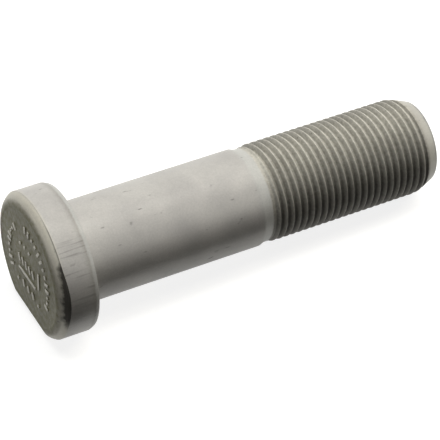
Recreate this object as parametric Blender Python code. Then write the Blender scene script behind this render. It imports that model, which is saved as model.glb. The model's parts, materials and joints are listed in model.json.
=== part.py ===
"""Wheel bolt M20 x 1.5: a forged D-shaped head, a plain shank and a rolled thread, in one piece of steel.

The bolt is turned about its own Z axis, with the middle of the head's face at the origin and the tip
at +Z. The flat of the D faces -Y. An empty then lays it down as it rests on a table: on the rear edge
of the flat and on the last full crest of the thread, with the tip along +X.
"""

import math

import bmesh
import bpy
from mathutils import Matrix, Vector

# Head, in metres
HEAD_DIAMETER = 0.0295
HEAD_HEIGHT = 0.0080
FLAT_FROM_AXIS = 0.01275
FACE_EDGE_RADIUS = 0.00285
FACE_EDGE_DEPTH = 0.0016
FLAT_CORNER_RADIUS = 0.0012
REAR_CHAMFER = 0.0003
REAR_CHAMFER_LENGTH = 0.00075

# Shank
SHANK_DIAMETER = 0.0199
SHANK_LENGTH = 0.0380
HEAD_FILLET = 0.0007

# Thread, right-hand, with the neck before it and the chamfered tip
THREAD_DIAMETER = 0.0198
NECK_BELOW_CREST = 0.00035
NECK_DIAMETER = THREAD_DIAMETER - 2 * NECK_BELOW_CREST
NECK_TAPER = 0.0010
NECK_LENGTH = 0.0012
THREAD_PITCH = 0.0015
THREAD_DEPTH = 0.6134 * THREAD_PITCH
CREST_WIDTH = THREAD_PITCH / 8
FLANK_ANGLE = math.radians(30)
CREST_PAST_START = 0.00132
RUN_OUT_LENGTH = 0.0015
RUN_IN_LENGTH = 0.0004
BOLT_LENGTH = 0.0860
TIP_CHAMFER = 0.00155
TIP_LENGTH = 0.0039
TIP_BEND = 0.0020
PLAIN_TIP = 0.0018
TIP_ROUNDING = 0.00045

# Facets
HEAD_STEPS = 60
BODY_STEPS = 40
EDGE_STEPS = 6
FILLET_STEPS = 3
CORNER_STEPS = 3
ROUNDING_STEPS = 2
MERGE_DISTANCE = 0.00001
SHARP_ANGLE = math.radians(20)

# Zinc-flake coated steel
COATING_COLOUR = (0.46, 0.44, 0.40, 1.0)
COATING_METALLIC = 0.7
COATING_ROUGHNESS = 0.5

SHANK_END = HEAD_HEIGHT + SHANK_LENGTH
THREAD_START = SHANK_END + NECK_TAPER + NECK_LENGTH
THREAD_END = BOLT_LENGTH - PLAIN_TIP
TIP_SLOPE = TIP_CHAMFER / TIP_LENGTH
AXIS = Vector((0.0, 0.0, 1.0))
CENTRE = Vector((0.0, 0.0, 0.0))


def clear_scene():
    for item in list(bpy.data.objects):
        bpy.data.objects.remove(item, do_unlink=True)


def arc(centre_radius, centre_height, radius, start, end, steps):
    """Points (radius, height) of an arc; the angles run from the +radius direction towards +height."""
    points = []
    for step in range(steps + 1):
        angle = start + (end - start) * step / steps
        points.append((centre_radius + radius * math.cos(angle), centre_height + radius * math.sin(angle)))
    return points


def head_section():
    """The head's outer section, from the flat of the face round to the bearing side."""
    head_radius = HEAD_DIAMETER / 2
    # the rounding leaves the face smoothly and meets the trimmed side in a faint crease
    end = math.asin((FACE_EDGE_RADIUS - FACE_EDGE_DEPTH) / FACE_EDGE_RADIUS)
    reach = FACE_EDGE_RADIUS * math.cos(end)
    section = arc(head_radius - reach, FACE_EDGE_RADIUS, FACE_EDGE_RADIUS, -math.pi / 2, -end, EDGE_STEPS)
    section.append((head_radius, HEAD_HEIGHT - REAR_CHAMFER_LENGTH))
    section.append((head_radius - REAR_CHAMFER, HEAD_HEIGHT))
    return section


def shank_section():
    """The section of fillet, shank and neck, from the bearing side to the start of the thread."""
    shank_radius = SHANK_DIAMETER / 2
    neck_radius = NECK_DIAMETER / 2
    fillet_radius = shank_radius + HEAD_FILLET
    fillet_height = HEAD_HEIGHT + HEAD_FILLET
    section = arc(fillet_radius, fillet_height, HEAD_FILLET, -math.pi / 2, -math.pi, FILLET_STEPS)
    section.append((shank_radius, SHANK_END))
    section.append((neck_radius, SHANK_END + NECK_TAPER))
    section.append((neck_radius, THREAD_START))
    return section


def tip_radius(height):
    """The radius of the tip's chamfer, which bends gently out of the thread's crests."""
    along = height - (BOLT_LENGTH - TIP_LENGTH - TIP_BEND / 2)
    bend = min(max(along, 0.0), TIP_BEND)
    return THREAD_DIAMETER / 2 - TIP_SLOPE * (bend * bend / (2 * TIP_BEND) + max(along - TIP_BEND, 0.0))


def tip_section():
    """The section of the chamfered tip, from the end of the thread over its rounded edge to the end face."""
    slope = math.atan(TIP_SLOPE)
    centre_radius = THREAD_DIAMETER / 2 - TIP_CHAMFER - TIP_ROUNDING * math.tan((math.pi / 2 - slope) / 2)
    centre_height = BOLT_LENGTH - TIP_ROUNDING
    rounding = arc(centre_radius, centre_height, TIP_ROUNDING, slope, math.pi / 2, ROUNDING_STEPS)
    return [(tip_radius(THREAD_END), THREAD_END)] + rounding


def tooth_section():
    """One tooth as (share of the thread's depth, height) pairs: crest, flank, root and the other flank."""
    flank = THREAD_DEPTH * math.tan(FLANK_ANGLE)
    return [(0, 0), (0, CREST_WIDTH), (1, CREST_WIDTH + flank), (1, THREAD_PITCH - flank)]


def thread_radius(share, height):
    """The thread's radius: it rises out of the neck, and the tip's chamfer cuts it off."""
    run_out = min(max((height - THREAD_START) / RUN_OUT_LENGTH, 0.0), 1.0)
    run_in = min(max((THREAD_END - height) / RUN_IN_LENGTH, 0.0), 1.0)
    crest = (NECK_DIAMETER + (THREAD_DIAMETER - NECK_DIAMETER) * run_out) / 2
    return min(crest - share * THREAD_DEPTH * run_out * run_in, tip_radius(height))


def section_edges(mesh, section, angle):
    """Draws a section as a chain of edges in the half plane at an angle from +X, and returns the edges."""
    across = Vector((math.cos(angle), math.sin(angle), 0.0))
    verts = [mesh.verts.new(across * radius + AXIS * height) for radius, height in section]
    return [mesh.edges.new(pair) for pair in zip(verts, verts[1:])]


def edges_at(mesh, height):
    """The open edges that lie at one height."""
    return [
        edge for edge in mesh.edges
        if edge.is_boundary and all(abs(vert.co.z - height) < MERGE_DISTANCE for vert in edge.verts)
    ]


def sweep_head(mesh):
    """Sweeps the head's section round the D, straight across the flat, and returns the flat's corner edges."""
    corner = math.acos(FLAT_FROM_AXIS / (HEAD_DIAMETER / 2))
    first = section_edges(mesh, head_section(), -math.pi / 2 + corner)
    sweep = bmesh.ops.spin(
        mesh, geom=first, cent=CENTRE, axis=AXIS, angle=2 * (math.pi - corner), steps=HEAD_STEPS)
    last = [item for item in sweep["geom_last"] if isinstance(item, bmesh.types.BMEdge)]
    bmesh.ops.bridge_loops(mesh, edges=first + last)
    return first + last


def turn(mesh, section):
    """Turns a section once round the axis."""
    bmesh.ops.spin(
        mesh, geom=section_edges(mesh, section, -math.pi / 2), cent=CENTRE, axis=AXIS,
        angle=2 * math.pi, steps=BODY_STEPS, use_merge=True)


def roll_thread(mesh):
    """Spins the section of all the teeth once round the axis while it rises by one pitch, as a right-hand helix."""
    # two turns begin before the thread's start, and one lies past its end, so the rising ends are all covered
    turns = math.ceil((THREAD_END - THREAD_START) / THREAD_PITCH) + 3
    first_crest = THREAD_START + CREST_PAST_START - 2 * THREAD_PITCH
    section = [
        (THREAD_DIAMETER / 2 - share * THREAD_DEPTH, first_crest + turn * THREAD_PITCH + height)
        for turn in range(turns) for share, height in tooth_section()
    ]
    others = set(mesh.verts)
    bmesh.ops.spin(
        mesh, geom=section_edges(mesh, section, -math.pi / 2), cent=CENTRE, axis=AXIS,
        angle=2 * math.pi, steps=BODY_STEPS, dvec=AXIS * THREAD_PITCH / BODY_STEPS)
    teeth = [vert for vert in mesh.verts if vert not in others]
    # what lies past either end of the thread is gathered on the ring there, and welded with it
    for vert in teeth:
        across = Vector((vert.co.x, vert.co.y, 0.0))
        share = (THREAD_DIAMETER / 2 - across.length) / THREAD_DEPTH
        height = min(max(vert.co.z, THREAD_START), THREAD_END)
        vert.co = across.normalized() * thread_radius(share, height) + AXIS * height
    bmesh.ops.remove_doubles(mesh, verts=teeth, dist=MERGE_DISTANCE)


def bolt_mesh():
    """The whole bolt as one closed mesh."""
    mesh = bmesh.new()
    corners = sweep_head(mesh)
    turn(mesh, shank_section())
    roll_thread(mesh)
    turn(mesh, tip_section())
    bmesh.ops.bridge_loops(mesh, edges=edges_at(mesh, HEAD_HEIGHT))
    bmesh.ops.holes_fill(mesh, edges=edges_at(mesh, 0.0) + edges_at(mesh, BOLT_LENGTH), sides=0)
    bmesh.ops.bevel(
        mesh, geom=corners, offset=FLAT_CORNER_RADIUS, offset_type="OFFSET", affect="EDGES",
        segments=CORNER_STEPS, profile=0.5, material=-1, clamp_overlap=True)
    # where a corner's rounding meets a chamfer its points lie a hair outside the flat, and are pressed onto it
    for vert in mesh.verts:
        vert.co.y = max(vert.co.y, -FLAT_FROM_AXIS)
    bmesh.ops.remove_doubles(mesh, verts=mesh.verts, dist=MERGE_DISTANCE)
    bmesh.ops.recalc_face_normals(mesh, faces=mesh.faces)
    data = bpy.data.meshes.new("wheel_bolt")
    mesh.to_mesh(data)
    mesh.free()
    data.shade_smooth()
    data.set_sharp_from_angle(angle=SHARP_ANGLE)
    return data


def coating():
    """The zinc-flake coating."""
    material = bpy.data.materials.new("zinc_flake_steel")
    material.use_nodes = True
    shader = material.node_tree.nodes["Principled BSDF"]
    shader.inputs["Base Color"].default_value = COATING_COLOUR
    shader.inputs["Metallic"].default_value = COATING_METALLIC
    shader.inputs["Roughness"].default_value = COATING_ROUGHNESS
    return material


def rest_tilt(bolt):
    """The angle at which the bolt, tipped over the rear edge of its flat, comes to rest on its thread."""
    rear_edge = HEAD_HEIGHT - REAR_CHAMFER_LENGTH
    return min(
        math.atan2(FLAT_FROM_AXIS + vert.co.y, vert.co.z - rear_edge)
        for vert in bolt.data.vertices if vert.co.z > SHANK_END)


def lay_down(bolt):
    """Lays the bolt on the floor, with the origin on the floor under the middle of its bounding box."""
    tilt = rest_tilt(bolt)
    cradle = bpy.data.objects.new("cradle", None)
    bpy.context.collection.objects.link(cradle)
    cradle.rotation_euler = (0.0, tilt, 0.0)
    bolt.parent = cradle
    bolt.rotation_euler = (math.pi / 2, 0.0, math.pi / 2)
    turned = Matrix.Rotation(tilt, 3, "Y") @ bolt.rotation_euler.to_matrix()
    places = [turned @ vert.co for vert in bolt.data.vertices]
    middle = [(min(values) + max(values)) / 2 for values in zip(*places)]
    lowest = min(place.z for place in places)
    cradle.location = (-middle[0], -middle[1], -lowest)


def main():
    clear_scene()
    bolt = bpy.data.objects.new("wheel_bolt", bolt_mesh())
    bpy.context.collection.objects.link(bolt)
    bolt.data.materials.append(coating())
    lay_down(bolt)


main()
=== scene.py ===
"""A zinc-flake coated wheel bolt, lying on a pale floor under two softboxes.

The bolt is modelled in its own coordinates: Z runs along its axis from the middle of the head's face to the
tip, and the head's flat faces -Y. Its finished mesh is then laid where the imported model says.
"""

import json
import math

import bmesh
import bpy
from bpy.props import FloatProperty, FloatVectorProperty, PointerProperty
from bpy.types import Operator, Panel, PropertyGroup
from mathutils import Matrix, Vector


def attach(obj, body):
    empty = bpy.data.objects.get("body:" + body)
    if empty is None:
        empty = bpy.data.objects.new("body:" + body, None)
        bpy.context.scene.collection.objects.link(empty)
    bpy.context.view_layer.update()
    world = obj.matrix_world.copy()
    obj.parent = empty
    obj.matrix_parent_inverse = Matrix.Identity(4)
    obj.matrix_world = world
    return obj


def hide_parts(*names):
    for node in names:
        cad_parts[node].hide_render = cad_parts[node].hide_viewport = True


bl_info = {
    "name": "Coated Wheel Bolt",
    "version": (1, 0, 0),
    "blender": (4, 5, 0),
    "location": "View3D > Sidebar > Wheel Bolt",
    "description": "Models a zinc-flake coated wheel bolt and the studio that it lies in",
    "category": "Add Mesh",
}

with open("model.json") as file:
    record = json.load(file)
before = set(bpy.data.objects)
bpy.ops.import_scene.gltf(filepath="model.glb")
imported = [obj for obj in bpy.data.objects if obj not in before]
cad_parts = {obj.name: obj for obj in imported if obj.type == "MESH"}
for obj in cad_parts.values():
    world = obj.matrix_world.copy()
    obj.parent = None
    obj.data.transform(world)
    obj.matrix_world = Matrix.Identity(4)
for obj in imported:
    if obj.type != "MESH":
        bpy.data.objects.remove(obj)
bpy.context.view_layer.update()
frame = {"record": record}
NODE = "wheel_bolt"

MOUNTS = {mount["name"]: mount for mount in frame["record"]["mounts"]}
FACE_CENTRE = Vector(MOUNTS["head_face"]["pos_m"])
TIP_CENTRE = Vector(MOUNTS["tip_face"]["pos_m"])
BEARING_POINT = Vector(MOUNTS["bearing_face"]["pos_m"])
FLAT_POINT = Vector(MOUNTS["anti_turn_flat"]["pos_m"])
BOLT_AXIS = (TIP_CENTRE - FACE_CENTRE).normalized()
ACROSS_FLAT = -Vector(MOUNTS["anti_turn_flat"]["axis"])
SIDEWAYS = ACROSS_FLAT.cross(BOLT_AXIS)
TURNED = Matrix((SIDEWAYS, ACROSS_FLAT, BOLT_AXIS)).transposed()
OWN_TO_ROW = Matrix.Translation(FACE_CENTRE) @ TURNED.to_4x4()

MM = 0.001
AXIS = Vector((0.0, 0.0, 1.0))
CENTRE = Vector((0.0, 0.0, 0.0))
MERGE_DISTANCE = 0.002 * MM
SHARP_ANGLE = math.radians(38)

# The thread's depth, as a share of its pitch
THREAD_DEPTH = 0.6134
# How far a raised mark's sides lean out, as a share of its height
MARK_DRAFT = 0.4

# Facets of the visible mesh
AROUND = 144
HEAD_AROUND = 168
EDGE_ROWS = 14
CORNER_ROWS = 8
FILLET_ROWS = 8
ROOT_ROWS = 4
SHADING_MARGIN = 0.3 * MM

# The softboxes' size and distance, and the black card: its width, its distance in front of the bolt's axis,
# its height over the floor, how far its lying part reaches and how far its standing part rises
SOFTBOX_WIDTH = 0.4
SOFTBOX_DISTANCE = 0.6
CARD_WIDTH = 0.8
CARD_GAP = 0.018
CARD_LIFT = 0.001
CARD_DEPTH = 0.132
CARD_RISE = 0.034


def linear(hex_colour):
    """A linear RGBA colour from sRGB hex, such as #a0a0a0."""
    channels = [int(hex_colour[place:place + 2], 16) / 255 for place in (1, 3, 5)]
    return tuple(
        channel / 12.92 if channel <= 0.04045 else ((channel + 0.055) / 1.055) ** 2.4
        for channel in channels
    ) + (1.0,)


def length(name, default, description):
    """A length that the panel shows."""
    return FloatProperty(
        name=name, default=default, description=description, subtype="DISTANCE", unit="LENGTH")


def colour(name, default, description):
    """A colour that the panel shows, with its default in sRGB hex."""
    return FloatVectorProperty(
        name=name, default=linear(default), description=description, subtype="COLOR", size=4, min=0, max=1)


class BoltSizes(PropertyGroup):
    bolt_length: length("Bolt length", (TIP_CENTRE - FACE_CENTRE).length, "Head's face to the end of the tip")
    head_height: length(
        "Head height", (BEARING_POINT - FACE_CENTRE).dot(BOLT_AXIS), "Head's face to its bearing side")
    flat_from_axis: length(
        "Flat from axis", (FACE_CENTRE - FLAT_POINT).dot(ACROSS_FLAT), "From the axis to the anti-turn flat")
    head_diameter: length("Head diameter", 29.5 * MM, "Across the round of the head")
    face_edge_radius: length("Face edge radius", 2.85 * MM, "The forged rounding round the head's face")
    face_edge_depth: length("Face edge depth", 1.6 * MM, "How far the rounding reaches along the axis")
    face_recess: length("Face recess", 0.05 * MM, "How far the face lies below its rim")
    trim_step: length("Trim step", 0.04 * MM, "The step that trimming leaves between rounding and side")
    mark_height: length("Mark height", 0.25 * MM, "How far the plain index marks stand up from the face")
    mark_width: length("Mark width", 0.56 * MM, "Across a mark's top")
    flat_corner_radius: length("Flat corner radius", 1.2 * MM, "The rounding of the flat's two corners")
    rear_chamfer: length("Rear chamfer", 0.3 * MM, "The chamfer round the bearing side, across the axis")
    rear_chamfer_length: length("Rear chamfer length", 0.75 * MM, "The same chamfer along the axis")
    shank_diameter: length("Shank diameter", 19.9 * MM, "Across the plain shank")
    shank_length: length("Shank length", 38.0 * MM, "The plain shank under the head")
    head_fillet: length("Head fillet", 0.7 * MM, "The fillet between shank and head")
    neck_diameter: length("Neck diameter", 19.1 * MM, "Across the neck, which is the thread's blank")
    neck_taper: length("Neck taper", 1.0 * MM, "The length of the taper from shank to neck")
    neck_length: length("Neck length", 1.2 * MM, "The plain neck between taper and thread")
    thread_diameter: length("Thread diameter", 19.8 * MM, "Across the thread's crests")
    thread_pitch: length("Thread pitch", 1.5 * MM, "Crest to crest")
    crest_past_start: length("Crest past start", 1.32 * MM, "The first crest's place over the flat")
    run_out_length: length("Run-out length", 1.5 * MM, "How far the crests take to rise out of the neck")
    run_in_length: length("Run-in length", 0.4 * MM, "How far the grooves take to fade at the tip")
    tip_diameter: length("Tip diameter", 16.7 * MM, "Across the end face, its rounding left out")
    tip_length: length("Tip length", 3.9 * MM, "The length of the chamfered tip, its bend left out")
    tip_bend: length("Tip bend", 2.0 * MM, "The length over which the crests bend into the tip's chamfer")
    plain_tip: length("Plain tip", 1.8 * MM, "The end of the tip that has no thread")
    tip_rounding: length("Tip rounding", 0.45 * MM, "The rounding round the end face")


class CoatingLooks(PropertyGroup):
    coat: colour("Coat", "#b4b2ad", "Dull zinc-flake coat")
    coat_cool: colour("Cool patches", "#8c8c92", "Where the flakes lie cooler")
    face: colour("Head's face", "#8e8b6e", "The forged face under its thinner coat")
    rounding: colour("Rounding", "#c8c4b6", "The forged rounding of the head")
    # the colour of painted shade in the grooves and the crease, and of chips and scuffs
    painted_shade_and_wear: colour("Painted shade and wear", "#1e1b14", "Painted shade in the grooves and the crease, and chips and scuffs")
    thread: colour("Thread", "#c1beb3", "The rolled thread")
    # painted highlight: lightens the thread's crests and the tops of the raised marks
    crest: colour("Crests", "#d0cdc1", "Painted highlight on crests and raised marks")
    neck: colour("Neck", "#b8b8b3", "The frosted neck and the head's rear chamfer")
    tip: colour("Tip", "#b6b4ab", "The chamfered tip")
    # a darker band of the trimmed side, about 1 mm wide, next to the rear chamfer
    edge: colour("Side by chamfer", "#a19f98", "The trimmed side next to the rear chamfer")
    # painted shade: the tip's rounded end and its end face are darker
    cut: colour("Tip end shade", "#939490", "Painted shade on the tip's rounded end and end face")
    metal_share: FloatProperty(
        name="Metal share", default=0.15, description="How much of the coat reflects as metal", min=0, max=1)
    roughness: FloatProperty(
        name="Roughness", default=0.45, description="How wide the coat spreads reflections", min=0, max=1)
    binder_gloss: FloatProperty(
        name="Binder gloss", default=0.5, description="The gloss of the coat's binder", min=0, max=1)


class StudioLooks(PropertyGroup):
    floor: colour("Floor", "#a2a29f", "What the plain floor gives back to the bolt")
    floor_glow: FloatProperty(
        name="Floor glow", default=0.84, description="What lifts the floor to white for the camera", min=0)
    room_light: FloatProperty(
        name="Room light", default=0.02, description="How bright the room is for the bolt", min=0)
    card: colour("Card", "#262626", "The black card in front of the bolt")
    overhead_power: FloatProperty(
        name="Overhead", default=3.0, description="The softbox overhead", unit="POWER")
    side_power: FloatProperty(
        name="Side", default=2.75, description="The softbox beyond the tip", unit="POWER")
    camera_azimuth: FloatProperty(
        name="Camera azimuth", default=math.radians(-28.16), description="0 looks along +Y", subtype="ANGLE")
    camera_elevation: FloatProperty(
        name="Camera elevation", default=math.radians(42.67), description="Above the floor", subtype="ANGLE")
    camera_distance: length("Camera distance", 0.46175, "From the point it looks at")
    camera_target_x: length("Camera target X", -1.8 * MM, "The point it looks at, along the floor")
    camera_target_z: length("Camera target Z", 7.49 * MM, "The height of the point it looks at")
    lens: FloatProperty(name="Lens", default=192.33, description="On a 36 mm sensor", unit="CAMERA")


def arc(centre_radius, centre_height, radius, start, end, rows):
    """Points (radius, height) of an arc; the angles run from the +radius direction towards +height."""
    points = []
    for row in range(rows + 1):
        angle = start + (end - start) * row / rows
        points.append((centre_radius + radius * math.cos(angle), centre_height + radius * math.sin(angle)))
    return points


def head_section(sizes):
    """The head's outer section, from the flat of the face round to the bearing side."""
    head_radius = sizes.head_diameter / 2
    rounding_radius = head_radius - sizes.trim_step
    edge = sizes.face_edge_radius
    end = math.asin((edge - sizes.face_edge_depth) / edge)
    rounding = arc(rounding_radius - edge * math.cos(end), edge, edge, -math.pi / 2, -end, EDGE_ROWS)
    section = [(rounding[0][0] - 4 * sizes.face_recess, sizes.face_recess)] + rounding
    section.append((head_radius, sizes.face_edge_depth + sizes.trim_step))
    section.append((head_radius, sizes.head_height - sizes.rear_chamfer_length))
    section.append((head_radius - sizes.rear_chamfer, sizes.head_height))
    return section


def shank_section(sizes):
    """The section of fillet, shank and neck, from the bearing side to the start of the thread."""
    shank_radius = sizes.shank_diameter / 2
    neck_radius = sizes.neck_diameter / 2
    shank_end = sizes.head_height + sizes.shank_length
    fillet = sizes.head_fillet
    section = arc(
        shank_radius + fillet, sizes.head_height + fillet, fillet, -math.pi / 2, -math.pi, FILLET_ROWS)
    section.append((shank_radius, sizes.head_height + fillet + SHADING_MARGIN))
    section.append((shank_radius, shank_end - SHADING_MARGIN))
    section.append((shank_radius, shank_end))
    section.append((neck_radius, shank_end + sizes.neck_taper))
    section.append((neck_radius, shank_end + sizes.neck_taper + sizes.neck_length))
    return section


def tip_slope(sizes):
    """The fall of the tip's chamfer, radius against height."""
    return (sizes.thread_diameter - sizes.tip_diameter) / 2 / sizes.tip_length


def tip_radius(sizes, height):
    """The radius of the tip's chamfer, which bends gently out of the thread's crests."""
    slope = tip_slope(sizes)
    along = height - (sizes.bolt_length - sizes.tip_length - sizes.tip_bend / 2)
    bend = min(max(along, 0.0), sizes.tip_bend)
    straight = max(along - sizes.tip_bend, 0.0)
    return sizes.thread_diameter / 2 - slope * (bend * bend / (2 * sizes.tip_bend) + straight)


def tip_section(sizes):
    """The section of the plain end of the chamfered tip, with its rounded end."""
    slope = math.atan(tip_slope(sizes))
    rounding = sizes.tip_rounding
    start = sizes.bolt_length - sizes.plain_tip
    centre_radius = sizes.tip_diameter / 2 - rounding * math.tan((math.pi / 2 - slope) / 2)
    section = [(tip_radius(sizes, start), start)]
    section.append((tip_radius(sizes, start + SHADING_MARGIN), start + SHADING_MARGIN))
    section += arc(centre_radius, sizes.bolt_length - rounding, rounding, slope, math.pi / 2, FILLET_ROWS)
    return section


def tooth_section(sizes):
    """One tooth as (share of the thread's depth, height) pairs: crest, flank, rounded root and flank."""
    pitch = sizes.thread_pitch
    crest = pitch / 8
    flank = THREAD_DEPTH * pitch * math.tan(math.radians(30))
    root = pitch - crest - 2 * flank
    # the crest is slightly crowned
    rows = [(0.03, 0.0), (0.006, 0.25 * crest), (0.0, 0.5 * crest), (0.006, 0.75 * crest), (0.03, crest)]
    rows += [(share, crest + share * flank) for share in (0.10, 0.25, 0.40, 0.55, 0.70, 0.85)]
    # the root is hollow over the last 7 % of the depth
    for row in range(ROOT_ROWS + 1):
        across = row / ROOT_ROWS
        dip = 1 - (2 * across - 1) ** 2
        rows.append((0.93 + 0.07 * dip, crest + 0.94 * flank + across * (root + 0.12 * flank)))
    rows += [(share, pitch - share * flank) for share in (0.85, 0.70, 0.55, 0.40, 0.25, 0.10)]
    return rows


def thread_radius_at(sizes, share, height):
    """The thread's radius: it rises out of the neck, and the tip's chamfer cuts it off."""
    start = sizes.head_height + sizes.shank_length + sizes.neck_taper + sizes.neck_length
    end = sizes.bolt_length - sizes.plain_tip
    run_out = min(max((height - start) / sizes.run_out_length, 0.0), 1.0)
    run_in = min(max((end - height) / sizes.run_in_length, 0.0), 1.0)
    crest = (sizes.neck_diameter + (sizes.thread_diameter - sizes.neck_diameter) * run_out) / 2
    depth = THREAD_DEPTH * sizes.thread_pitch * run_out * run_in
    return min(crest - share * depth, tip_radius(sizes, height))


def section_edges(mesh, section, angle):
    """Draws a section as a chain of edges in the half plane at an angle from +X, and returns the edges."""
    across = Vector((math.cos(angle), math.sin(angle), 0.0))
    verts = [mesh.verts.new(across * radius + AXIS * height) for radius, height in section]
    return [mesh.edges.new(pair) for pair in zip(verts, verts[1:])]


def edges_at(mesh, height):
    """The open edges that lie at one height."""
    return [
        edge for edge in mesh.edges
        if edge.is_boundary and all(abs(vert.co.z - height) < MERGE_DISTANCE for vert in edge.verts)
    ]


def sweep_head(mesh, sizes):
    """Sweeps the head's section round the D and straight across the flat; returns the flat's corner edges."""
    corner = math.acos(sizes.flat_from_axis / (sizes.head_diameter / 2))
    first = section_edges(mesh, head_section(sizes), -math.pi / 2 + corner)
    sweep = bmesh.ops.spin(
        mesh, geom=first, cent=CENTRE, axis=AXIS, angle=2 * (math.pi - corner), steps=HEAD_AROUND)
    last = [item for item in sweep["geom_last"] if isinstance(item, bmesh.types.BMEdge)]
    bmesh.ops.bridge_loops(mesh, edges=first + last)
    return first + last


def turn(mesh, section):
    """Turns a section once round the axis."""
    bmesh.ops.spin(
        mesh, geom=section_edges(mesh, section, -math.pi / 2), cent=CENTRE, axis=AXIS,
        angle=2 * math.pi, steps=AROUND, use_merge=True)


def roll_thread(mesh, sizes):
    """Spins the section of all the teeth once round the axis while it rises by one pitch: right-hand."""
    start = sizes.head_height + sizes.shank_length + sizes.neck_taper + sizes.neck_length
    end = sizes.bolt_length - sizes.plain_tip
    pitch = sizes.thread_pitch
    depth = THREAD_DEPTH * pitch
    crest_radius = sizes.thread_diameter / 2
    turns = math.ceil((end - start) / pitch) + 3
    first_crest = start + sizes.crest_past_start - 2 * pitch
    section = [
        (crest_radius - share * depth, first_crest + turn_number * pitch + height)
        for turn_number in range(turns) for share, height in tooth_section(sizes)
    ]
    others = set(mesh.verts)
    bmesh.ops.spin(
        mesh, geom=section_edges(mesh, section, -math.pi / 2), cent=CENTRE, axis=AXIS,
        angle=2 * math.pi, steps=AROUND, dvec=AXIS * pitch / AROUND)
    teeth = [vert for vert in mesh.verts if vert not in others]
    for vert in teeth:
        across = Vector((vert.co.x, vert.co.y, 0.0))
        share = (crest_radius - across.length) / depth
        height = min(max(vert.co.z, start), end)
        vert.co = across.normalized() * thread_radius_at(sizes, share, height) + AXIS * height
    bmesh.ops.remove_doubles(mesh, verts=teeth, dist=MERGE_DISTANCE)


def raise_bar(mesh, sizes, place, bar_length, turned):
    """Adds one raised bar, with drafted sides, that reaches from inside the face to its full height."""
    height = sizes.mark_height
    size = Vector((bar_length, sizes.mark_width, 2 * height))
    matrix = Matrix.Rotation(turned, 4, "Z") @ Matrix.Diagonal(size).to_4x4()
    verts = bmesh.ops.create_cube(mesh, size=1, matrix=matrix)["verts"]
    along = Vector((math.cos(turned), math.sin(turned), 0.0))
    sideways = AXIS.cross(along)
    for vert in verts:
        if vert.co.z > 0:
            lean = (math.copysign(1, vert.co.dot(along)) * along
                    + math.copysign(1, vert.co.dot(sideways)) * sideways)
            vert.co += MARK_DRAFT * height * lean
        vert.co += place
    finish_mark(mesh, sizes, verts)


def raise_pip(mesh, sizes, place):
    """Adds one raised round pip with drafted sides."""
    height = sizes.mark_height
    radius = 0.6 * sizes.mark_width
    matrix = Matrix.Translation(place) @ Matrix.Rotation(math.pi, 4, "X")
    cone = bmesh.ops.create_cone(
        mesh, cap_ends=True, segments=20, radius1=radius + MARK_DRAFT * height, radius2=radius,
        depth=2 * height, matrix=matrix)
    finish_mark(mesh, sizes, cone["verts"])


def finish_mark(mesh, sizes, verts):
    """Rounds the outer edges of a mark."""
    top = min(vert.co.z for vert in verts)
    outer = {vert for vert in verts if vert.co.z < top + MERGE_DISTANCE}
    edges = [edge for edge in mesh.edges if outer.issuperset(edge.verts)]
    bmesh.ops.bevel(
        mesh, geom=edges, offset=0.1 * sizes.mark_width, offset_type="OFFSET", affect="EDGES",
        segments=2, profile=0.5, material=-1, clamp_overlap=True)


def mark_places(sizes):
    """The plain index marks: two rings of bars and pips near the rim, and a few bars in the middle."""
    bars = []
    pips = []
    plane = AXIS * sizes.face_recess
    # each ring's first and last angle in degrees, its number of marks and its radius
    for first, last, count, radius in ((-6, 112, 13, 8.8 * MM), (-122, -44, 9, 8.3 * MM)):
        for number in range(count):
            angle = math.radians(first + (last - first) * number / (count - 1))
            place = plane + radius * Vector((-math.sin(angle), math.cos(angle), 0.0))
            outwards = math.atan2(place.y, place.x)
            if number % 4 == 2:
                pips.append(place)
            elif number % 4 == 3:
                bars.append((place, 0.7 * MM, outwards + math.pi / 2))
            else:
                bars.append((place, 1.5 * MM, outwards))
    bars.append((plane + Vector((0.2 * MM, -2.5 * MM, 0.0)), 7.4 * MM, 0.0))
    bars.append((plane + Vector((-4.9 * MM, 0.4 * MM, 0.0)), 3.9 * MM, math.pi / 2))
    for number in range(5):
        across = (3.6 - 1.5 * number) * MM
        bars.append((plane + Vector((across, 0.1 * MM, 0.0)), 1.7 * MM, math.radians(68)))
    for number in range(3):
        bars.append((plane + Vector(((1.9 - 2.1 * number) * MM, -5.4 * MM, 0.0)), 1.5 * MM, math.radians(68)))
    for across, up in ((3.2, 3.9), (1.2, 4.3), (-0.8, 4.3), (4.4, -6.0), (-4.6, -6.0)):
        pips.append(plane + Vector((across * MM, up * MM, 0.0)))
    return bars, pips


def join(plate, marks):
    """The union of two closed meshes."""
    objects = []
    for name, mesh in (("plate", plate), ("marks", marks)):
        bmesh.ops.recalc_face_normals(mesh, faces=mesh.faces)
        data = bpy.data.meshes.new(name)
        mesh.to_mesh(data)
        mesh.free()
        item = bpy.data.objects.new(name, data)
        bpy.context.scene.collection.objects.link(item)
        objects.append(item)
    union = objects[0].modifiers.new("union", "BOOLEAN")
    union.operation = "UNION"
    union.solver = "EXACT"
    union.use_self = True
    union.object = objects[1]
    evaluated = objects[0].evaluated_get(bpy.context.evaluated_depsgraph_get())
    joined = bpy.data.meshes.new_from_object(evaluated)
    for item in objects:
        bpy.data.meshes.remove(item.data)
    return joined


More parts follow.
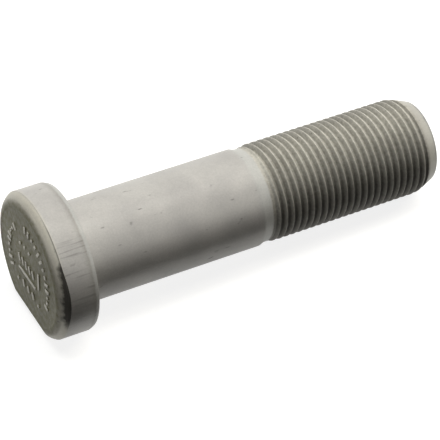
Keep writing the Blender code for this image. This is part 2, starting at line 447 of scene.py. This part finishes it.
def mark_face(mesh, sizes):
    """Joins the index marks with a plate behind the face, and puts its outer skin in the face's place."""
    face = max(
        (face for face in mesh.faces if face.normal.z < -0.999), key=lambda face: face.calc_area())
    bmesh.ops.inset_region(mesh, faces=[face], thickness=SHADING_MARGIN, use_even_offset=True)
    plate = bmesh.new()
    skin = plate.faces.new([plate.verts.new(vert.co) for vert in face.verts])
    depth = 3 * sizes.mark_height
    extrusion = bmesh.ops.extrude_face_region(plate, geom=[skin], use_keep_orig=True)
    moved = [item for item in extrusion["geom"] if isinstance(item, bmesh.types.BMVert)]
    bmesh.ops.translate(plate, verts=moved, vec=AXIS * depth)
    marks = bmesh.new()
    bars, pips = mark_places(sizes)
    for place, bar_length, turned in bars:
        raise_bar(marks, sizes, place, bar_length, turned)
    for place in pips:
        raise_pip(marks, sizes, place)
    bmesh.ops.delete(mesh, geom=[face], context="FACES_ONLY")
    data = join(plate, marks)
    joined = bmesh.new()
    joined.from_mesh(data)
    behind = [
        face for face in joined.faces
        if max(vert.co.z for vert in face.verts) > sizes.face_recess + MERGE_DISTANCE
    ]
    bmesh.ops.delete(joined, geom=behind, context="FACES")
    joined.to_mesh(data)
    joined.free()
    mesh.from_mesh(data)
    bpy.data.meshes.remove(data)
    bmesh.ops.remove_doubles(mesh, verts=mesh.verts, dist=MERGE_DISTANCE)


def model_bolt(sizes):
    """The whole bolt as one closed mesh, in its own coordinates."""
    mesh = bmesh.new()
    corners = sweep_head(mesh, sizes)
    turn(mesh, shank_section(sizes))
    roll_thread(mesh, sizes)
    turn(mesh, tip_section(sizes))
    bmesh.ops.bridge_loops(mesh, edges=edges_at(mesh, sizes.head_height))
    bmesh.ops.holes_fill(
        mesh, edges=edges_at(mesh, sizes.face_recess) + edges_at(mesh, sizes.bolt_length), sides=0)
    bmesh.ops.bevel(
        mesh, geom=corners, offset=sizes.flat_corner_radius, offset_type="OFFSET", affect="EDGES",
        segments=CORNER_ROWS, profile=0.5, material=-1, clamp_overlap=True)
    for vert in mesh.verts:
        vert.co.y = max(vert.co.y, -sizes.flat_from_axis)
    bmesh.ops.remove_doubles(mesh, verts=mesh.verts, dist=MERGE_DISTANCE)
    bmesh.ops.recalc_face_normals(mesh, faces=mesh.faces)
    mark_face(mesh, sizes)
    plain = [
        face for face in mesh.faces
        if (face.normal.z > 0.999 and len(face.verts) == AROUND)
        or (face.normal.y < -0.999 and face.calc_area() > 10 * MM * MM)
    ]
    for face in plain:
        bmesh.ops.inset_region(mesh, faces=[face], thickness=0.5 * SHADING_MARGIN, use_even_offset=True)
    bmesh.ops.transform(mesh, matrix=OWN_TO_ROW, verts=mesh.verts)
    data = bpy.data.meshes.new("coated_bolt")
    mesh.to_mesh(data)
    mesh.free()
    data.shade_smooth()
    data.set_sharp_from_angle(angle=SHARP_ANGLE)
    return data


def add_node(tree, kind, inputs=None, **settings):
    """Adds a node with its settings, and fills its sockets with values or links."""
    node = tree.nodes.new(kind)
    for name, value in settings.items():
        setattr(node, name, value)
    for name, value in (inputs or {}).items():
        if isinstance(value, bpy.types.NodeSocket):
            tree.links.new(value, node.inputs[name])
        else:
            node.inputs[name].default_value = value
    return node


def colour_stops(node, stops, full):
    """Sets a colour ramp's stops from rising (height, colour) pairs; the ramp spans the full height."""
    ramp = node.color_ramp
    while len(ramp.elements) < len(stops):
        ramp.elements.new(1.0)
    for element, (height, shade) in zip(ramp.elements, stops):
        element.position = height / full
        element.color = shade


def own_coordinates(tree):
    """The bolt's own coordinates, their parts, the radius and the angle, which is 0 at the top."""
    place = add_node(tree, "ShaderNodeTexCoord")
    own = add_node(tree, "ShaderNodeMapping", {
        "Vector": place.outputs["Object"], "Location": FACE_CENTRE, "Rotation": OWN_TO_ROW.to_euler()},
        vector_type="TEXTURE")
    parts = add_node(tree, "ShaderNodeSeparateXYZ", {0: own.outputs[0]})
    across = add_node(tree, "ShaderNodeCombineXYZ", {"X": parts.outputs["X"], "Y": parts.outputs["Y"]})
    radius = add_node(tree, "ShaderNodeVectorMath", {0: across.outputs[0]}, operation="LENGTH")
    angle = add_node(
        tree, "ShaderNodeMath", {0: parts.outputs["X"], 1: parts.outputs["Y"]}, operation="ARCTAN2")
    return own.outputs[0], parts, radius.outputs["Value"], angle.outputs[0]


def finishes(tree, sizes, looks, own, height):
    """The colour along the bolt, and zones: red is the face, green the head's side, blue the thread."""
    rounding_end = sizes.face_edge_depth
    chamfer_start = sizes.head_height - sizes.rear_chamfer_length
    head_end = sizes.head_height
    shank_end = head_end + sizes.shank_length
    thread_start = shank_end + sizes.neck_taper + sizes.neck_length
    full = sizes.bolt_length
    thread_end = full - sizes.plain_tip
    share = add_node(tree, "ShaderNodeMath", {0: height, 1: full}, operation="DIVIDE")
    # the finishes meet raggedly, within 0.1 mm
    wobble = add_node(tree, "ShaderNodeTexNoise", {"Vector": own, "Scale": 900.0, "Detail": 3.0})
    wobble = add_node(tree, "ShaderNodeMapRange", {
        "Value": wobble.outputs[0], "From Min": 0.3, "From Max": 0.7, "To Min": -0.1 * MM / full,
        "To Max": 0.1 * MM / full})
    ragged_share = add_node(
        tree, "ShaderNodeMath", {0: share.outputs[0], 1: wobble.outputs[0]}, operation="ADD")
    finish = add_node(tree, "ShaderNodeValToRGB", {"Fac": ragged_share.outputs[0]})
    colour_stops(finish, [
        (0.22 * MM, looks.face), (0.30 * MM, looks.rounding),
        (rounding_end - 0.1 * MM, looks.rounding), (rounding_end + 0.2 * MM, looks.coat),
        (chamfer_start - 1.05 * MM, looks.coat), (chamfer_start - 0.1 * MM, looks.edge),
        (chamfer_start + 0.05 * MM, looks.neck), (head_end, looks.neck), (head_end + 0.15 * MM, looks.coat),
        (shank_end - 0.7 * MM, looks.coat), (shank_end - 0.1 * MM, looks.neck),
        (thread_start - 0.5 * MM, looks.neck), (thread_start - 0.2 * MM, looks.thread),
        (thread_end - 0.6 * MM, looks.thread), (thread_end - 0.35 * MM, looks.tip),
        # painted shade over the last 0.4 mm of the tip and its end face
        (full - 0.7 * MM, looks.tip), (full - 0.4 * MM, looks.cut)], full)

    face, side, thread, elsewhere = (1, 0, 0, 1), (0, 1, 0, 1), (0, 0, 1, 1), (0, 0, 0, 1)
    zones = add_node(tree, "ShaderNodeValToRGB", {"Fac": share.outputs[0]})
    colour_stops(zones, [
        (0.3 * MM, face), (0.6 * MM, elsewhere), (rounding_end + 0.1 * MM, elsewhere),
        (rounding_end + 0.3 * MM, side), (chamfer_start - 0.25 * MM, side),
        (chamfer_start + 0.05 * MM, elsewhere), (thread_start - 0.5 * MM, elsewhere),
        (thread_start - 0.15 * MM, thread), (thread_end - 0.7 * MM, thread),
        (thread_end - 0.4 * MM, elsewhere)], full)
    zone = add_node(tree, "ShaderNodeSeparateColor", {0: zones.outputs["Color"]})
    return finish.outputs["Color"], zone


def flaky_coat(tree, looks, own, finish, grain, thread):
    """Adds the flakes' clouds and grain to the finish, and mottles the rolled thread."""
    # clouds of cooler and warmer flakes, 6 to 12 mm wide
    clouds = add_node(
        tree, "ShaderNodeTexNoise", {"Vector": own, "Scale": 110.0, "Detail": 3.0, "Roughness": 0.55})
    cloud = add_node(tree, "ShaderNodeMapRange", {
        "Value": clouds.outputs[0], "From Min": 0.4, "From Max": 0.65, "To Max": 0.6})
    coat = add_node(tree, "ShaderNodeMix", {
        "Factor": cloud.outputs[0], 6: finish, 7: looks.coat_cool}, data_type="RGBA", blend_type="SOFT_LIGHT")
    grit = add_node(tree, "ShaderNodeMapRange", {
        "Value": grain, "From Min": 0.3, "From Max": 0.7, "To Min": 0.93, "To Max": 1.06})
    coat = add_node(tree, "ShaderNodeMix", {
        "Factor": 1.0, 6: coat.outputs[2], 7: grit.outputs[0]}, data_type="RGBA", blend_type="MULTIPLY")
    # the rolled thread is mottled over about 0.7 mm
    mottle = add_node(
        tree, "ShaderNodeTexNoise", {"Vector": own, "Scale": 1500.0, "Detail": 4.0, "Roughness": 0.6})
    mottle = add_node(tree, "ShaderNodeMapRange", {
        "Value": mottle.outputs[0], "From Min": 0.35, "From Max": 0.65, "To Min": 0.8, "To Max": 1.15})
    coat = add_node(tree, "ShaderNodeMix", {
        "Factor": thread, 6: coat.outputs[2], 7: mottle.outputs[0]}, data_type="RGBA", blend_type="MULTIPLY")
    return coat.outputs[2]


def painted_groove_shade(tree, sizes, radius, up, thread):
    """Painted shade in the thread: darker over its lower half, most at the roots."""
    crest = sizes.thread_diameter / 2
    depth = add_node(tree, "ShaderNodeMapRange", {
        "Value": radius, "From Min": crest - 0.04 * MM, "From Max": crest - 0.65 * MM})
    depth = add_node(tree, "ShaderNodeMath", {0: depth.outputs[0], 1: 1.5}, operation="POWER")
    depth = add_node(
        tree, "ShaderNodeMath", {0: depth.outputs[0], 1: 0.6, 2: 1.0}, operation="MULTIPLY_ADD")
    # painted shade: darker towards the thread's lower side
    lower_half_shade = add_node(tree, "ShaderNodeMapRange", {"Value": up, "From Min": crest, "From Max": -0.1 * crest})
    lower_half_shade = add_node(tree, "ShaderNodeMath", {0: lower_half_shade.outputs[0], 1: 0.5}, operation="POWER")
    lower_half_shade = add_node(tree, "ShaderNodeMath", {0: lower_half_shade.outputs[0], 1: 0.55}, operation="MULTIPLY")
    groove = add_node(
        tree, "ShaderNodeMath", {0: depth.outputs[0], 1: lower_half_shade.outputs[0]}, operation="MULTIPLY")
    groove = add_node(tree, "ShaderNodeMath", {0: groove.outputs[0], 1: thread}, operation="MULTIPLY")
    return groove.outputs[0]


def painted_highlights(tree, sizes, radius, raised, thread):
    """Painted highlights: the thread's crests and the tops of the raised marks are lightened."""
    crest = sizes.thread_diameter / 2
    painted_highlight = add_node(tree, "ShaderNodeMapRange", {
        "Value": radius, "From Min": crest - 0.30 * MM, "From Max": crest - 0.02 * MM, "To Max": 0.05})
    painted_highlight = add_node(tree, "ShaderNodeMath", {0: painted_highlight.outputs[0], 1: thread}, operation="MULTIPLY")
    painted_highlight = add_node(tree, "ShaderNodeMath", {0: painted_highlight.outputs[0], 1: raised}, operation="MAXIMUM")
    return painted_highlight.outputs[0]


def turned_from(tree, angle, degrees):
    """How far round the bolt a point lies from a place, which is given in degrees from the top."""
    turned = add_node(tree, "ShaderNodeMath", {0: angle, 1: math.radians(degrees)}, operation="SUBTRACT")
    return add_node(tree, "ShaderNodeMath", {0: turned.outputs[0]}, operation="ABSOLUTE").outputs[0]


def painted_crease_shade(tree, sizes, own, height, angle):
    """Painted shade in the crease between rounding and trimmed side.

    It is a thin line down one side of the head, and widens to a ragged crescent over the rounding.
    """
    side_start = sizes.face_edge_depth + sizes.trim_step
    up_rounding = add_node(tree, "ShaderNodeMapRange", {
        "Value": height, "From Min": 0.35 * MM, "From Max": side_start - 0.09 * MM})
    around = turned_from(tree, angle, -80)
    wide = add_node(tree, "ShaderNodeMapRange", {
        "Value": around, "From Min": math.radians(50), "From Max": math.radians(14), "To Max": 0.95},
        interpolation_type="SMOOTHSTEP")
    ragged = add_node(tree, "ShaderNodeTexNoise", {"Vector": own, "Scale": 500.0, "Detail": 4.0})
    ragged = add_node(tree, "ShaderNodeMapRange", {
        "Value": ragged.outputs[0], "From Min": 0.35, "From Max": 0.65, "To Min": -1.25, "To Max": -0.75})
    reach = add_node(tree, "ShaderNodeMath", {0: wide.outputs[0], 1: ragged.outputs[0]}, operation="ADD")
    reach = add_node(
        tree, "ShaderNodeMath", {0: up_rounding.outputs[0], 1: reach.outputs[0]}, operation="ADD")
    # painted shade: the dark crescent over the lower front of the rounding
    crescent = add_node(tree, "ShaderNodeMapRange", {
        "Value": reach.outputs[0], "From Min": 0.0, "From Max": 0.6, "To Max": 0.94})
    line = add_node(tree, "ShaderNodeMapRange", {
        "Value": height, "From Min": side_start - 0.29 * MM, "From Max": side_start - 0.09 * MM,
        "To Max": 0.5})
    painted_shade_and_wear = add_node(
        tree, "ShaderNodeMath", {0: crescent.outputs[0], 1: line.outputs[0]}, operation="MAXIMUM")

    # it ends softly along the crease, keeps off the face, and creeps up to 0.5 mm over the side
    along = add_node(tree, "ShaderNodeMapRange", {
        "Value": turned_from(tree, angle, -62), "From Min": math.radians(50), "From Max": math.radians(34)},
        interpolation_type="SMOOTHSTEP")
    off_face = add_node(
        tree, "ShaderNodeMapRange", {"Value": height, "From Min": 0.1 * MM, "From Max": 0.4 * MM})
    over_side = add_node(tree, "ShaderNodeMapRange", {
        "Value": around, "From Min": math.radians(34), "From Max": math.radians(0),
        "To Min": side_start, "To Max": side_start + 0.5 * MM}, interpolation_type="SMOOTHSTEP")
    over_side = add_node(
        tree, "ShaderNodeMath", {0: height, 1: over_side.outputs[0]}, operation="LESS_THAN")
    for within in (along, off_face, over_side):
        painted_shade_and_wear = add_node(
            tree, "ShaderNodeMath", {0: painted_shade_and_wear.outputs[0], 1: within.outputs[0]}, operation="MULTIPLY")
    return painted_shade_and_wear.outputs[0]


def chipped_flecks(tree, own):
    """Small dark flecks, 0.3 to 1 mm long, where the coat has chipped."""
    stretched = add_node(tree, "ShaderNodeMapping", {"Vector": own, "Scale": Vector((900.0, 900.0, 340.0))})
    flecks = add_node(
        tree, "ShaderNodeTexNoise", {"Vector": stretched.outputs[0], "Scale": 1.0, "Detail": 2.0})
    fleck = add_node(tree, "ShaderNodeMapRange", {
        "Value": flecks.outputs[0], "From Min": 0.69, "From Max": 0.78, "To Max": 0.6})
    return fleck.outputs[0]


def side_scuffs(tree, height, angle, side):
    """Scuffs along the axis on the head's trimmed side, in three places round it."""
    winding = add_node(tree, "ShaderNodeMath", {0: angle, 1: 22.0}, operation="MULTIPLY")
    lengthways = add_node(tree, "ShaderNodeMath", {0: height, 1: 75.0}, operation="MULTIPLY")
    drawn = add_node(tree, "ShaderNodeCombineXYZ", {"X": winding.outputs[0], "Y": lengthways.outputs[0]})
    scuffs = add_node(tree, "ShaderNodeTexNoise", {"Vector": drawn.outputs[0], "Scale": 1.0, "Detail": 2.0})
    scuffs = add_node(
        tree, "ShaderNodeMapRange", {"Value": scuffs.outputs[0], "From Min": 0.56, "From Max": 0.66})
    thirds = add_node(
        tree, "ShaderNodeMath", {0: angle, 1: 3.0, 2: math.radians(3 * 58)}, operation="MULTIPLY_ADD")
    thirds = add_node(tree, "ShaderNodeMath", {0: thirds.outputs[0]}, operation="COSINE")
    patch = add_node(
        tree, "ShaderNodeMapRange", {"Value": thirds.outputs[0], "From Min": -0.2, "From Max": 0.6})
    scuffs = add_node(
        tree, "ShaderNodeMath", {0: scuffs.outputs[0], 1: patch.outputs[0]}, operation="MULTIPLY")
    scuffs = add_node(tree, "ShaderNodeMath", {0: scuffs.outputs[0], 1: side}, operation="MULTIPLY")
    scuffs = add_node(tree, "ShaderNodeMath", {0: scuffs.outputs[0], 1: 0.3}, operation="MULTIPLY")
    return scuffs.outputs[0]


def zinc_flake(sizes, looks):
    """Zinc-flake coat on forged and rolled steel.

    Overlapping flakes of zinc and aluminium in a baked binder: a dull, warm grey that spreads its reflections
    wide, thinner and olive on the forged face, with chips and scuffs, painted shade in grooves and creases,
    and painted highlights on the crests and raised marks.
    """
    material = bpy.data.materials.new("zinc_flake_coat")
    material.use_nodes = True
    tree = material.node_tree
    shader = tree.nodes["Principled BSDF"]
    own, parts, radius, angle = own_coordinates(tree)
    height = parts.outputs["Z"]
    finish, zone = finishes(tree, sizes, looks, own, height)
    # the flakes' grain, drawn 0.35 mm wide where real flakes are a hundredth of that
    grain = add_node(
        tree, "ShaderNodeTexNoise", {"Vector": own, "Scale": 2800.0, "Detail": 2.0, "Roughness": 0.6})
    raised = add_node(tree, "ShaderNodeMapRange", {
        "Value": height, "From Min": 0.0, "From Max": sizes.face_recess - 0.6 * sizes.mark_height})

    coat = flaky_coat(tree, looks, own, finish, grain.outputs[0], zone.outputs["Blue"])
    painted_highlight = painted_highlights(tree, sizes, radius, raised.outputs[0], zone.outputs["Blue"])
    # painted highlight on the crests and the mark tops
    coat = add_node(tree, "ShaderNodeMix", {"Factor": painted_highlight, 6: coat, 7: looks.crest}, data_type="RGBA")
    # painted shade in the thread's grooves, darkest at the roots of the lower half
    painted_shade_and_wear_mask = painted_groove_shade(tree, sizes, radius, parts.outputs["Y"], zone.outputs["Blue"])
    layers = (
        painted_crease_shade(tree, sizes, own, height, angle), chipped_flecks(tree, own),
        side_scuffs(tree, height, angle, zone.outputs["Green"]))
    for layer in layers:
        painted_shade_and_wear_mask = add_node(tree, "ShaderNodeMath", {0: painted_shade_and_wear_mask, 1: layer}, operation="MAXIMUM").outputs[0]
    # darkens the coat with painted shade in grooves and crease, and with chips and scuffs
    coat = add_node(
        tree, "ShaderNodeMix", {"Factor": painted_shade_and_wear_mask, 6: coat.outputs[2], 7: looks.painted_shade_and_wear}, data_type="RGBA")
    tree.links.new(coat.outputs[2], shader.inputs["Base Color"])

    # the rough forged face shows no metal and almost no gloss; its raised marks show as much as the rest of
    # the bolt
    matte = add_node(tree, "ShaderNodeMath", {
        0: zone.outputs["Red"], 1: raised.outputs[0]}, operation="SUBTRACT", use_clamp=True)
    metal = add_node(
        tree, "ShaderNodeMapRange", {"Value": matte.outputs[0], "To Min": looks.metal_share, "To Max": 0.0})
    tree.links.new(metal.outputs[0], shader.inputs["Metallic"])
    gloss = add_node(
        tree, "ShaderNodeMapRange", {"Value": matte.outputs[0], "To Min": looks.binder_gloss, "To Max": 0.1})
    tree.links.new(gloss.outputs[0], shader.inputs["Specular IOR Level"])

    # the grain varies the roughness a little, and the coat is rougher where painted shade and wear darken it
    rough = add_node(tree, "ShaderNodeMapRange", {
        "Value": grain.outputs[0], "From Min": 0.3, "From Max": 0.7, "To Min": looks.roughness - 0.05,
        "To Max": looks.roughness + 0.05})
    rough = add_node(
        tree, "ShaderNodeMath", {0: painted_shade_and_wear_mask, 1: 0.25, 2: rough.outputs[0]}, operation="MULTIPLY_ADD")
    tree.links.new(rough.outputs[0], shader.inputs["Roughness"])

    # the forged face is uneven over 1 to 2 mm, and the coat is grainy all over
    forged = add_node(
        tree, "ShaderNodeTexNoise", {"Vector": own, "Scale": 700.0, "Detail": 3.0, "Roughness": 0.6})
    forged = add_node(
        tree, "ShaderNodeMath", {0: forged.outputs[0], 1: zone.outputs["Red"]}, operation="MULTIPLY")
    uneven = add_node(
        tree, "ShaderNodeBump", {"Height": forged.outputs[0], "Strength": 1.0, "Distance": 0.12 * MM})
    grainy = add_node(tree, "ShaderNodeBump", {
        "Height": grain.outputs[0], "Normal": uneven.outputs[0], "Strength": 1.0, "Distance": 0.012 * MM})
    tree.links.new(grainy.outputs[0], shader.inputs["Normal"])
    return material


class WHEELBOLT_OT_bolt(Operator):
    """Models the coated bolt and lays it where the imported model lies"""

    bl_idname = "wheelbolt.bolt"
    bl_label = "Model the Bolt"

    def execute(self, context):
        data = model_bolt(context.scene.bolt_sizes)
        bolt = bpy.data.objects.new("coated_bolt", data)
        context.scene.collection.objects.link(bolt)
        data.materials.append(zinc_flake(context.scene.bolt_sizes, context.scene.coating_looks))
        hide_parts(NODE)
        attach(bolt, "root")
        return {"FINISHED"}


def seen_clearly(tree):
    """1 for what the camera sees, straight, mirrored or through glass, and 0 for what lights the bolt."""
    path = add_node(tree, "ShaderNodeLightPath")
    seen = add_node(
        tree, "ShaderNodeMath", {0: path.outputs["Is Camera Ray"], 1: path.outputs["Is Glossy Ray"]})
    seen = add_node(
        tree, "ShaderNodeMath", {0: seen.outputs[0], 1: path.outputs["Is Transmission Ray"]},
        use_clamp=True)
    return seen.outputs[0]


def lay_floor(looks):
    """A plain pale floor, which the camera and clear reflections see as white."""
    mesh = bmesh.new()
    bmesh.ops.create_grid(mesh, x_segments=1, y_segments=1, size=3.0)
    data = bpy.data.meshes.new("floor")
    mesh.to_mesh(data)
    mesh.free()
    floor = bpy.data.objects.new("floor", data)
    bpy.context.scene.collection.objects.link(floor)
    material = bpy.data.materials.new("pale_floor")
    material.use_nodes = True
    tree = material.node_tree
    tree.nodes.remove(tree.nodes["Principled BSDF"])
    lift = add_node(
        tree, "ShaderNodeMath", {0: seen_clearly(tree), 1: looks.floor_glow}, operation="MULTIPLY")
    paint = add_node(tree, "ShaderNodeBsdfDiffuse", {"Color": looks.floor})
    glow = add_node(tree, "ShaderNodeEmission", {"Strength": lift.outputs[0]})
    both = add_node(tree, "ShaderNodeAddShader", {0: paint.outputs[0], 1: glow.outputs[0]})
    tree.links.new(both.outputs[0], tree.nodes["Material Output"].inputs["Surface"])
    data.materials.append(material)


def light_world(looks):
    """A dim neutral room, which the camera and clear reflections see as white."""
    world = bpy.data.worlds.new("studio")
    bpy.context.scene.world = world
    world.use_nodes = True
    tree = world.node_tree
    level = add_node(tree, "ShaderNodeMapRange", {
        "Value": seen_clearly(tree), "To Min": looks.room_light, "To Max": 1.0})
    tree.nodes["Background"].inputs["Color"].default_value = (1, 1, 1, 1)
    tree.links.new(level.outputs[0], tree.nodes["Background"].inputs["Strength"])


def hang_softboxes(looks):
    """Two softboxes, one overhead and a warmer one high beyond the tip."""
    # name, colour, power, degrees round from the tip and degrees up
    softboxes = (
        ("overhead", "#fdfeff", looks.overhead_power, 90, 80), ("side", "#fff9ee", looks.side_power, 0, 55))
    for name, tint, power, turned, raised in softboxes:
        data = bpy.data.lights.new(name, "AREA")
        data.shape = "SQUARE"
        data.size = SOFTBOX_WIDTH
        data.energy = power
        data.color = linear(tint)[:3]
        lamp = bpy.data.objects.new(name, data)
        bpy.context.scene.collection.objects.link(lamp)
        turned = math.radians(turned)
        raised = math.radians(raised)
        direction = Vector((
            math.cos(turned) * math.cos(raised), math.sin(turned) * math.cos(raised), math.sin(raised)))
        lamp.location = SOFTBOX_DISTANCE * direction
        lamp.rotation_euler = direction.to_track_quat("Z", "Y").to_euler()
        # what the coat mirrors is the white room around it
        lamp.visible_glossy = False


def stand_black_card(looks):
    """A bent black card in front, out of the camera's sight, that keeps the lower side of the metal dark."""
    mesh = bmesh.new()
    near = [mesh.verts.new((across, -CARD_GAP, CARD_LIFT)) for across in (-CARD_WIDTH / 2, CARD_WIDTH / 2)]
    edge = mesh.edges.new(near)
    for step in (Vector((0.0, -CARD_DEPTH, 0.0)), Vector((0.0, 0.0, CARD_RISE))):
        extrusion = bmesh.ops.extrude_edge_only(mesh, edges=[edge])["geom"]
        moved = [item for item in extrusion if isinstance(item, bmesh.types.BMVert)]
        bmesh.ops.translate(mesh, verts=moved, vec=step)
        edge = next(item for item in extrusion if isinstance(item, bmesh.types.BMEdge))
    data = bpy.data.meshes.new("black_card")
    mesh.to_mesh(data)
    mesh.free()
    card = bpy.data.objects.new("black_card", data)
    bpy.context.scene.collection.objects.link(card)
    material = bpy.data.materials.new("black_paper")
    material.use_nodes = True
    shader = material.node_tree.nodes["Principled BSDF"]
    shader.inputs["Base Color"].default_value = looks.card
    shader.inputs["Roughness"].default_value = 0.9
    data.materials.append(material)
    card.visible_camera = False
    card.visible_shadow = False


def place_camera(looks):
    """The camera at the photograph's angle."""
    data = bpy.data.cameras.new("camera")
    data.lens = looks.lens
    data.sensor_width = 36.0
    data.clip_start = 0.01
    camera = bpy.data.objects.new("camera", data)
    bpy.context.scene.collection.objects.link(camera)
    target = Vector((looks.camera_target_x, 0.0, looks.camera_target_z))
    away = Vector((
        math.sin(looks.camera_azimuth) * math.cos(looks.camera_elevation),
        -math.cos(looks.camera_azimuth) * math.cos(looks.camera_elevation),
        math.sin(looks.camera_elevation)))
    camera.location = target + away * looks.camera_distance
    camera.rotation_euler = away.to_track_quat("Z", "Y").to_euler()
    bpy.context.scene.camera = camera


class WHEELBOLT_OT_studio(Operator):
    """Lays the floor and sets the light and the camera"""

    bl_idname = "wheelbolt.studio"
    bl_label = "Set the Studio"

    def execute(self, context):
        looks = context.scene.studio_looks
        lay_floor(looks)
        light_world(looks)
        hang_softboxes(looks)
        stand_black_card(looks)
        place_camera(looks)
        context.scene.view_settings.view_transform = "Standard"
        return {"FINISHED"}


class WHEELBOLT_PT_panel(Panel):
    """Lists the steps"""

    bl_idname = "WHEELBOLT_PT_panel"
    bl_label = "Wheel Bolt"
    bl_space_type = "VIEW_3D"
    bl_region_type = "UI"
    bl_category = "Wheel Bolt"

    def draw(self, context):
        layout = self.layout
        for group in (context.scene.bolt_sizes, context.scene.coating_looks, context.scene.studio_looks):
            for name in group.__annotations__:
                layout.prop(group, name)
        layout.operator("wheelbolt.bolt")
        layout.operator("wheelbolt.studio")


CLASSES = (BoltSizes, CoatingLooks, StudioLooks, WHEELBOLT_OT_bolt, WHEELBOLT_OT_studio, WHEELBOLT_PT_panel)


def register():
    for cls in CLASSES:
        bpy.utils.register_class(cls)
    bpy.types.Scene.bolt_sizes = PointerProperty(type=BoltSizes)
    bpy.types.Scene.coating_looks = PointerProperty(type=CoatingLooks)
    bpy.types.Scene.studio_looks = PointerProperty(type=StudioLooks)


def unregister():
    del bpy.types.Scene.studio_looks
    del bpy.types.Scene.coating_looks
    del bpy.types.Scene.bolt_sizes
    for cls in reversed(CLASSES):
        bpy.utils.unregister_class(cls)


def main():
    register()
    bpy.ops.wheelbolt.bolt()
    bpy.ops.wheelbolt.studio()


if __name__ == "__main__":
    main()
